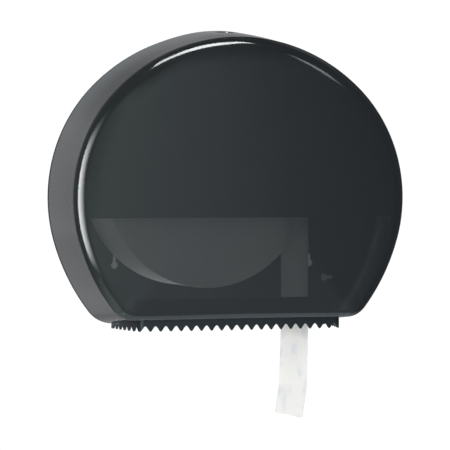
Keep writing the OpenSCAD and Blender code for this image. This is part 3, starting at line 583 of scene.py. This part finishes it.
def ring_faces(rings, base, flip):
    faces = []
    for k in range(rings - 1):
        for i in range(count):
            j = (i + 1) % count
            a, b = base + k * count, base + (k + 1) * count
            face = (a + i, a + j, b + j, b + i)
            faces.append(face[::-1] if flip else face)
    return faces


def cover_shell():
    """The cover's outer and inner skins, joined along the rear rim."""
    low_depth = BAND_DEPTH + BOTTOM_EXTRA

    def ends(draft, depth, size, back, wall):
        """Start and end of a shoulder, moved back and inwards for the inner skin."""
        return (draft, depth - back), (draft + size[0] - back, depth + size[1] - wall)

    def skin(wall, raised):
        draft, back = BAND_DRAFT + wall, wall / 3
        return cover_skin(
            wall,
            ends(draft, BAND_DEPTH, SHOULDER, back, wall),
            ends(draft, low_depth, LOW_SHOULDER, back, wall),
            front_depth - wall,
            raised,
        )

    outer, inner = skin(0.0, 1.0), skin(COVER_WALL, 0.0)
    points = [p for ring in outer + inner for p in ring]
    base = len(outer) * count
    tip = len(points)
    points.append((0.0, -RIM_Y - front_depth, CROWN_Z))
    points.append((0.0, -RIM_Y - front_depth + COVER_WALL, CROWN_Z))
    last_out = (len(outer) - 1) * count
    last_in = base + (len(inner) - 1) * count
    after = [(i + 1) % count for i in range(count)]
    faces = ring_faces(len(outer), 0, True)
    faces += [(last_out + i, tip, last_out + j) for i, j in enumerate(after)]
    outer_faces = len(faces)
    faces += ring_faces(len(inner), base, False)
    faces += [(last_in + j, tip + 1, last_in + i) for i, j in enumerate(after)]
    inner_faces = len(faces)
    faces += [(i, j, base + j, base + i) for i, j in enumerate(after)]
    shell = link("cover_shell", mesh_from("cover_shell", points, faces))
    shell.data.materials.append(smoke_outside())
    shell.data.materials.append(smoke_inside())
    for face in shell.data.polygons:
        face.material_index = 1 if outer_faces <= face.index < inner_faces else 0
    shade_smooth(shell)
    return shell


def cut_away(target, cutter):
    """Takes the cutter's volume out of target and deletes the cutter."""
    step = target.modifiers.new("cut", "BOOLEAN")
    step.operation = "DIFFERENCE"
    step.solver = "EXACT"
    step.object = cutter
    bpy.context.view_layer.objects.active = target
    bpy.ops.object.modifier_apply(modifier="cut")
    bpy.data.objects.remove(cutter)


# ---- Plan of the tear comb, which the cover's exit follows ----
FRONT_BOW_R = 1825 * MM
SIDE_BOW_R = 326 * MM
COMB_CORNER_R = 7 * MM
COMB_FRONT_Y = RIM_Y + BAND_DEPTH + 3.4 * MM
COMB_SPREAD = 2.2 * MM
COMB_GAP = 0.3 * MM
FLANK_LEAD = 2 * MM
FLANK_BACK = 5 * MM
TIP_Z = bottom_z - 5.8 * MM
TOOTH_H = 6.6 * MM

exit_half_w = corner_x + COMB_SPREAD
corner_row_y = COMB_CORNER_R - COMB_FRONT_Y

# Levels between which the exit and the key window are cut, and below which the window has no wall
EXIT_CUT = (bottom_z - 10 * MM, bottom_z + 15 * MM)
WINDOW_CUT = (COVER_TOP - 20 * MM, COVER_TOP + 12 * MM)
WINDOW_WALL_LOW = COVER_TOP - 12 * MM


def comb_plan(grow):
    """The comb's outline from above, grown outwards, closed behind the cover's rim."""
    row_c = (0.0, FRONT_BOW_R - COMB_FRONT_Y)
    flank_c = (exit_half_w - SIDE_BOW_R, -RIM_Y - FLANK_LEAD)
    # The corner's middle lies where the two bows, moved inwards by its radius, meet
    r0, r1 = FRONT_BOW_R - COMB_CORNER_R, SIDE_BOW_R - COMB_CORNER_R
    vx, vy = flank_c[0] - row_c[0], flank_c[1] - row_c[1]
    d = math.hypot(vx, vy)
    a = (r0 * r0 - r1 * r1 + d * d) / (2 * d)
    h = math.sqrt(r0 * r0 - a * a)
    corner = (row_c[0] + (a * vx - h * vy) / d, row_c[1] + (a * vy + h * vx) / d)
    row_end = math.atan2(corner[0] - row_c[0], row_c[1] - corner[1])
    flank_start = math.atan2(corner[0] - flank_c[0], flank_c[1] - corner[1])
    half = []
    for centre, radius, start, stop, steps in (
        (row_c, FRONT_BOW_R + grow, 0.0, row_end, 10),
        (corner, COMB_CORNER_R + grow, row_end, flank_start, 8),
        (flank_c, SIDE_BOW_R + grow, flank_start, math.pi / 2, 10),
    ):
        for i in range(1, steps + 1):
            turn = mix(start, stop, i / steps)
            half.append((centre[0] + radius * math.sin(turn), centre[1] - radius * math.cos(turn)))
    half.append((exit_half_w + grow, -RIM_Y + FLANK_BACK))
    front = [(0.0, -COMB_FRONT_Y - grow)]
    return [(-x, y) for x, y in reversed(half)] + front + half


def prism(name, plan, low, high):
    n = len(plan)
    points = [(x, y, low) for x, y in plan] + [(x, y, high) for x, y in plan]
    faces = [tuple(reversed(range(n))), tuple(range(n, 2 * n))]
    faces += [(i, (i + 1) % n, n + (i + 1) % n, n + i) for i in range(n)]
    return link(name, mesh_from(name, points, faces))


def disc_plan(centre, radius, sides=96):
    ring = [2 * math.pi * i / sides for i in range(sides)]
    return [(centre[0] + radius * math.cos(a), centre[1] + radius * math.sin(a)) for a in ring]


def add_cover():
    """The shell with its paper exit and its key window, whose wall is as dark as the inside."""
    cover = cover_shell()
    cut_away(cover, prism("exit_cutter", comb_plan(COMB_GAP), *EXIT_CUT))
    cut_away(cover, prism("window_cutter", disc_plan((0.0, -LOCK_Y), KEY_WINDOW_R), *WINDOW_CUT))
    for face in cover.data.polygons:
        x, y, z = face.center
        in_window = math.hypot(x, y + LOCK_Y) < KEY_WINDOW_R - 0.02 * MM
        if in_window and z > WINDOW_WALL_LOW:
            face.material_index = 1
    set_sharp(cover, COVER_SHARP)
    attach(cover, "cover")
    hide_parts("front_cover")


# ---- Materials of the cover ----
MASK_DROP = 23.5 * MM
MASK_EDGE_Y = 115.6 * MM
# The outside's sheen as (share of the band's depth, level), after the matt step at the rim
BAND_SHEEN = ((0.0, 0.05), (0.045, 0.05), (0.055, 0.64), (0.85, 0.53), (1.0, 0.61))
BLACK = (0.0, 0.0, 0.0, 1)


def smoke_outside():
    """High-gloss tinted plastic, with the faint waviness of a moulded surface, fine dust, and a
    painted sheen on top of the band near the wall.
    """
    made, g, spot = material("smoke_plastic_outside")
    dust = g.ramp(g.noise(spot, 900.0, 3.0, 0.7), 0.62, 0.8)
    haze = g.ramp(g.noise(spot, 14.0, 3.0), 0.35, 0.7)
    _, y, z = g.axes(spot)
    along = g.ramp(y, -RIM_Y, -RIM_Y - BAND_DEPTH, smooth=False)
    # Painted sheen: a lighter, greenish tone on top of the band, brightest by the wall
    painted_sheen = g.times(
        g.ramp(z, 50 * MM, 165 * MM),
        g.ramp(along, 0.03, 0.8, 1.0, 0.0),
        g.ramp(haze, 0.0, 1.0, 0.85, 1.0),
    )
    tone = g.mix(g.times(dust, 0.35), (0.0045, 0.0055, 0.0058, 1), (0.03, 0.03, 0.03, 1))
    surface(
        g,
        {
            "Base Color": g.mix(painted_sheen, tone, (0.075, 0.092, 0.096, 1)),
            "Roughness": g.plus(g.times(haze, 0.015), 0.03),
            "IOR": 1.5,
            "Specular Tint": (0.93, 1.0, 1.04, 1.0),
            "Specular IOR Level": g.curve(along, BAND_SHEEN),
            "Alpha": 0.79,
            "Normal": g.bump(g.noise(spot, 9.0, 1.0), 0.03, 0.0003),
        },
    )
    return made


def smoke_inside():
    """The tinted cover's inner face: dark and closed round the band and above the mask's edge.

    The front below the mask's edge is clear, with a dark veil of painted shade that thickens to
    the right.
    Only the camera finds the closed part closed; most of the light passes it, to the roll.
    """
    made, g, spot = material("smoke_plastic_inside")
    haze = g.ramp(g.noise(spot, 30.0, 4.0), 0.35, 0.75)
    x, y, z = g.axes(spot)
    # Painted shade: a dark veil over the clear front, thinnest at the far left and thickest at the
    # right
    shade_veil = g.plus(
        g.ramp(x, -192 * MM, -140 * MM, 0.02, 0.12), g.ramp(x, 42 * MM, 58 * MM, 0.0, 0.2)
    )
    band = g.ramp(y, -RIM_Y - BAND_DEPTH + 1 * MM, -RIM_Y - BAND_DEPTH + 6 * MM)
    above = g.ramp(z, -MASK_DROP - 0.4 * MM, -MASK_DROP + 0.4 * MM)
    behind_mask = g.times(above, g.ramp(y, -MASK_EDGE_Y - 1 * MM, -MASK_EDGE_Y))
    seen = g.node("ShaderNodeLightPath").outputs["Is Camera Ray"]
    closed = g.times(g.math("MAXIMUM", band, behind_mask), g.ramp(seen, 0.0, 1.0, 0.2, 1.0))
    tone = g.mix(haze, (0.004, 0.005, 0.0052, 1), (0.012, 0.013, 0.013, 1))
    surface(
        g,
        {
            "Base Color": g.mix(g.times(above, 0.7), tone, (0.002, 0.002, 0.002, 1)),
            "Roughness": g.plus(g.times(haze, 0.2), 0.22),
            "Alpha": g.blend(closed, shade_veil, 1.0),
            "Specular IOR Level": 0.4,
        },
    )
    return made


def comb_plastic():
    """Matt black comb: tips rubbed by the paper, polished corners and lighter outer sides."""
    made, g, spot = material("comb_plastic")
    x, y, z = g.axes(spot)
    away = g.math("ABSOLUTE", x)
    tip = g.ramp(z, TIP_Z + TOOTH_H * 0.45, TIP_Z)
    scuff = g.ramp(g.noise(spot, 420.0, 4.0, 0.65), 0.4, 0.75)
    wear = g.times(tip, g.plus(g.times(scuff, 0.8), 0.2))
    corner = g.times(
        g.between(away, exit_half_w - COMB_CORNER_R, exit_half_w - 1 * MM, 1 * MM),
        g.ramp(y, corner_row_y + 1 * MM, corner_row_y - 1 * MM),
    )
    # The outer sides are drawn lighter, least near the tips
    side = g.times(
        g.ramp(away, exit_half_w - 1.6 * MM, exit_half_w - 0.8 * MM),
        g.ramp(z, TIP_Z + 2.5 * MM, TIP_Z + 9 * MM, 0.15, 1.0),
    )
    tone = g.mix(wear, (0.003, 0.004, 0.005, 1), (0.014, 0.018, 0.022, 1))
    surface(
        g,
        {
            "Base Color": g.mix(side, tone, (0.06, 0.07, 0.072, 1)),
            "Roughness": g.minus(g.minus(0.5, g.times(tip, 0.14)), g.times(corner, 0.3)),
            "Specular IOR Level": 0.27,
            "Specular Tint": (0.8, 1.0, 1.12, 1.0),
            "Normal": g.bump(g.noise(spot, 1100.0, 2.0), 0.3, 0.00006),
        },
    )
    return made


# ---- Materials of the chassis and the metal parts ----
# Moulded plastics, as (dark tone, light tone, roughness) by material slot
MOULDED = {
    "chassis_plastic": ((0.012, 0.0135, 0.0145, 1), (0.018, 0.0195, 0.021, 1), 0.5),
    "grey_plastic": ((0.16, 0.165, 0.17, 1), (0.2, 0.205, 0.21, 1), 0.42),
    "mask_plastic": ((0.006, 0.0065, 0.007, 1), (0.009, 0.0095, 0.01, 1), 0.6),
}
# The strike's lower face falls forwards with the band; this is its level at the wall
STRIKE_SEAT_Z = 197.6 * MM


def moulded(name, dark, light, rough):
    """Moulded plastic: fine grain, mottled colour and a slightly uneven sheen."""
    made, g, spot = material(name)
    blotch = g.ramp(g.noise(spot, 18.0, 4.0), 0.3, 0.7)
    surface(
        g,
        {
            "Base Color": g.mix(blotch, dark, light),
            "Roughness": g.ramp(g.noise(spot, 45.0, 3.0), 0.3, 0.7, rough - 0.05, rough + 0.06),
            "Normal": g.bump(g.noise(spot, 1400.0, 2.0), 0.35, 0.00006),
        },
    )
    return made


def steel_with_painted_shade():
    """Zinc-plated screw heads, with painted shade on the threads that are sunk in the strike:
    black, dull and without sheen.
    """
    made, g, spot = material("steel_with_painted_shade")
    _, y, z = g.axes(spot)
    seat = g.plus(g.times(y, draft_slope), STRIKE_SEAT_Z)
    # Painted shade: above the strike's lower face the threads turn black and lose their sheen
    thread_shade = g.ramp(g.minus(z, seat), -0.2 * MM, 0.2 * MM)
    surface(
        g,
        {
            "Base Color": g.mix(thread_shade, (0.55, 0.56, 0.57, 1), (0.003, 0.003, 0.003, 1)),
            "Metallic": g.blend(thread_shade, 0.95, 0.0),
            "Roughness": g.blend(thread_shade, 0.32, 0.9),
            "Specular IOR Level": g.blend(thread_shade, 0.5, 0.0),
            "Normal": g.bump(g.noise(spot, 2600.0, 3.0), 0.2, 0.00004),
        },
    )
    return made


def zinc_steel():
    """Zinc-plated steel with fine brushing and dull patches."""
    made, g, spot = material("zinc_steel")
    brushed = g.noise(g.stretched(spot, (1.0, 1.0, 14.0)), 260.0, 3.0)
    dull = g.ramp(g.noise(spot, 90.0, 3.0), 0.35, 0.7)
    surface(
        g,
        {
            "Base Color": g.mix(dull, (0.62, 0.62, 0.6, 1), (0.46, 0.46, 0.45, 1)),
            "Metallic": 1.0,
            "Roughness": g.plus(g.times(brushed, 0.3), 0.2),
            "Normal": g.bump(brushed, 0.15, 0.00004),
        },
    )
    return made


def lock_metal():
    """Plated metal of the lock, with fine scratches."""
    made, g, spot = material("lock_metal")
    scratch = g.ramp(g.noise(spot, 1500.0, 5.0, 0.75), 0.56, 0.66)
    surface(
        g,
        {
            "Base Color": g.mix(scratch, (0.6, 0.6, 0.6, 1), (0.72, 0.7, 0.66, 1)),
            "Metallic": 1.0,
            "Roughness": g.plus(g.times(scratch, 0.25), 0.14),
        },
    )
    return made


def cardboard():
    """Grey-brown board with flecked fibres."""
    made, g, spot = material("cardboard")
    fleck = g.noise(spot, 700.0, 4.0, 0.7)
    blotch = g.ramp(g.noise(spot, 60.0, 3.0), 0.3, 0.7)
    base = g.mix(blotch, (0.42, 0.33, 0.24, 1), (0.5, 0.41, 0.31, 1))
    surface(
        g,
        {
            "Base Color": g.mix(g.ramp(fleck, 0.55, 0.7), base, (0.3, 0.22, 0.15, 1)),
            "Roughness": 0.9,
            "Normal": g.bump(fleck, 0.4, 0.0001),
        },
    )
    return made


# ---- Paper: the wound roll and its hanging end ----
ROLL_X = -41.4 * MM
ROLL_Z = 19.5 * MM
ROLL_R = 127.7 * MM
CORE_R = 30 * MM
ROLL_BACK = 10.2 * MM
ROLL_EDGE = 0.9 * MM
ROLL_SHARP = 40
# How far the layers stand back at the ends, and how far the outside does, in millimetres
LAYER_PLAY = (0.05, 0.45)
SIDE_PLAY = (0.0, 0.15)
PAPER_W = 97 * MM
PAPER_WHITE = (0.87, 0.87, 0.855, 1)
PAPER_SHADE = (0.79, 0.795, 0.785, 1)
PAPER_BLUISH = (0.7, 0.74, 0.8, 1)
PAPER_DARK = (0.0, 0.005, 0.02, 1)

TAIL_X = ROLL_X + ROLL_R + 0.3 * MM
TAIL_T = 0.8 * MM
TAIL_DROP = 115.5 * MM
TAIL_SWEEP = 7.4 * MM
TAIL_LEAN = 1.7 * MM
TAIL_FOLD = 0.66
TAIL_BOW = 0.16 * MM
TORN_EDGE = 0.7 * MM
SHEET_T = 0.25 * MM
SHEET_ROWS = 120
SHEET_COLUMNS = 24


def roll_paper():
    """Wound tissue: rings round the axis and fine fibres, with painted shade on the ends."""
    made, g, spot = material("wound_tissue")
    x, _, z = g.axes(spot)
    across, up = g.minus(x, ROLL_X), g.minus(z, ROLL_Z)
    radius = g.math("SQRT", g.plus(g.times(across, across), g.times(up, up)))
    rings = g.noise(g.joined(X=radius), 1600.0, 3.0, 0.7)
    fibre = g.noise(spot, 900.0, 4.0, 0.7)
    tone = g.plus(g.times(rings, 0.6), g.times(fibre, 0.4))
    # Painted shade: the end faces are a little darker than the rounded outside
    ends = g.ramp(radius, ROLL_R - 1.2 * MM, ROLL_R - 0.6 * MM, 0.08, 0.0)
    white = g.mix(g.ramp(tone, 0.35, 0.65), PAPER_SHADE, PAPER_WHITE)
    surface(
        g,
        {
            "Base Color": g.mix(ends, white, BLACK),
            "Roughness": 0.95,
            "Specular IOR Level": 0.15,
            "Normal": g.bump(tone, 0.5, 0.0002),
        },
    )
    return made


def tail_paper():
    """Thin tissue: fine crepe, rows of embossed dots, bluish patches and light let through."""
    made, g, spot = material("loose_tissue")
    _, y, z = g.axes(spot)
    flat = g.joined(X=y, Y=z)
    dots = g.node("ShaderNodeTexVoronoi", {"Vector": flat, "Scale": 260.0, "Randomness": 0.25})
    dimple = g.ramp(dots.outputs["Distance"], 0.12, 0.42)
    crepe = g.noise(g.stretched(spot, (1.0, 0.35, 1.6)), 900.0, 3.0, 0.6)
    relief = g.plus(g.times(dimple, 0.5), g.times(crepe, 0.5))
    normal = g.bump(relief, 0.35, 0.0002)
    patch = g.ramp(g.noise(flat, 34.0, 2.0), 0.52, 0.68)
    # The comb and the cover shade the sheet, most just inside the exit
    by_comb = g.ramp(z, TIP_Z - 16 * MM, TIP_Z, 0.0, 0.16)
    by_cover = g.ramp(z, bottom_z, bottom_z + 9 * MM, 0.0, 0.42)
    lit_again = g.ramp(z, bottom_z + 15 * MM, bottom_z + 90 * MM, 0.0, 0.24)
    shade = g.minus(g.plus(by_comb, by_cover), lit_again)
    colour = g.mix(shade, g.mix(g.times(patch, 0.5), PAPER_WHITE, PAPER_BLUISH), PAPER_DARK)
    skin = g.node(
        "ShaderNodeBsdfPrincipled",
        {"Base Color": colour, "Roughness": 0.95, "Specular IOR Level": 0.1, "Normal": normal},
    )
    through = g.node("ShaderNodeBsdfTranslucent", {"Color": colour, "Normal": normal})
    both = g.node("ShaderNodeMixShader", {0: 0.3, 1: skin.outputs[0], 2: through.outputs[0]})
    g.node("ShaderNodeOutputMaterial", {"Surface": both.outputs[0]})
    return made


def roll_profile(layers=64, across=12):
    """Section of the roll as (radius, y): its layers stand a little proud of each other."""
    chance = random.Random(7)
    front, back = -(ROLL_BACK + PAPER_W), -ROLL_BACK
    low, high = CORE_R + 0.05 * MM, ROLL_R - 0.6 * MM
    radii = [mix(low, high, i / layers) for i in range(layers + 1)]
    profile = [(r, front + chance.uniform(*LAYER_PLAY) * MM) for r in radii]
    profile += [(ROLL_R - 0.15 * MM, front + 0.3 * MM), (ROLL_R, front + ROLL_EDGE)]
    for i in range(1, across):
        y = mix(front + ROLL_EDGE, back - ROLL_EDGE, i / across)
        profile.append((ROLL_R - chance.uniform(*SIDE_PLAY) * MM, y))
    profile += [(ROLL_R, back - ROLL_EDGE), (ROLL_R - 0.15 * MM, back - 0.3 * MM)]
    profile += [(r, back - chance.uniform(*LAYER_PLAY) * MM) for r in reversed(radii)]
    return profile


def add_wound_roll(sides=192):
    profile = roll_profile()
    n = len(profile)
    points = []
    faces = []
    for k in range(sides):
        turn = 2 * math.pi * k / sides
        a, b = k * n, ((k + 1) % sides) * n
        for i, (r, y) in enumerate(profile):
            j = (i + 1) % n
            points.append((ROLL_X + r * math.cos(turn), y, ROLL_Z + r * math.sin(turn)))
            faces.append((a + i, a + j, b + j, b + i))
    roll = link("wound_roll", mesh_from("wound_roll", points, faces))
    shade_smooth(roll)
    set_sharp(roll, ROLL_SHARP)
    roll.data.materials.append(roll_paper())
    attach(roll, "roll")
    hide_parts("paper_roll")


def tail_inwards(t):
    """How far the tail stands inwards at share t of its hanging length, with a soft fold."""
    if t < TAIL_FOLD:
        return TAIL_LEAN * smooth(t / TAIL_FOLD)
    past = (t - TAIL_FOLD) / (1 - TAIL_FOLD)
    # The bend takes soft of the length past the fold, and a straight line goes on from it
    soft = 0.08
    eased = past * past / (2 * soft) if past < soft else past - soft / 2
    return TAIL_LEAN + (TAIL_SWEEP - TAIL_LEAN) * eased / (1 - soft / 2)


def torn_edge(v):
    """How far the torn lower edge is nicked at share v of its width."""
    return TORN_EDGE * abs(math.sin(37.0 * v)) * (0.4 + 0.6 * math.sin(11 * v) ** 2)


def sheet_point(i, j, side):
    """Point of the sheet's grid on one side of its thickness; row 0 is at the roll."""
    v = j / SHEET_COLUMNS
    z = mix(ROLL_Z, bottom_z - TAIL_DROP, i / SHEET_ROWS)
    below = max(0.0, (bottom_z - z) / TAIL_DROP)
    bow = TAIL_BOW * below * math.sin(5.2 * below + 6.0 * v)
    x = TAIL_X + TAIL_T / 2 - tail_inwards(below) + bow + side * SHEET_T / 2
    torn = torn_edge(v) if i == SHEET_ROWS else 0.0
    return (x, -ROLL_BACK - PAPER_W * v, z + torn)


def add_hanging_sheet():
    """The loose end: down from the roll's side, through the exit and gently inwards."""
    rows, columns = SHEET_ROWS, SHEET_COLUMNS
    grid = [(i, j) for i in range(rows + 1) for j in range(columns + 1)]
    points = [sheet_point(i, j, side) for side in (-1, 1) for i, j in grid]
    half, width = len(grid), columns + 1
    faces = []
    for i in range(rows):
        for j in range(columns):
            a = i * width + j
            faces.append((a, a + width, a + width + 1, a + 1))
            faces.append((half + a, half + a + 1, half + a + width + 1, half + a + width))
    top = [(0, j) for j in range(width)]
    right = [(i, columns) for i in range(1, rows + 1)]
    low = [(rows, j) for j in range(columns - 1, -1, -1)]
    left = [(i, 0) for i in range(rows - 1, 0, -1)]
    border = [i * width + j for i, j in top + right + low + left]
    for a, b in zip(border, border[1:] + border[:1]):
        faces.append((a, b, half + b, half + a))
    sheet = link("hanging_sheet", mesh_from("hanging_sheet", points, faces))
    shade_smooth(sheet)
    sheet.data.materials.append(tail_paper())
    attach(sheet, "root")
    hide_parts("paper_tail")
    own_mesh(sheet)


def dress(node, finish):
    thing = frame["nodes"][node]
    thing.data.materials.clear()
    thing.data.materials.append(finish)


# ---- The scene ----
add_camera()
add_world()
add_floor()
bpy.context.scene.view_settings.view_transform = "Standard"

add_cover()
add_wound_roll()
add_hanging_sheet()

finishes = {name: moulded(name, *look) for name, look in MOULDED.items()}
finishes["comb_plastic"] = comb_plastic()
finishes["steel"] = zinc_steel()
finishes["lock_metal"] = lock_metal()
finishes["cardboard"] = cardboard()
for part in frame["record"]["subparts"]:
    if part["material_slot"] in finishes:
        dress(part["node"], finishes[part["material_slot"]])
dress("strike_screws", steel_with_painted_shade())
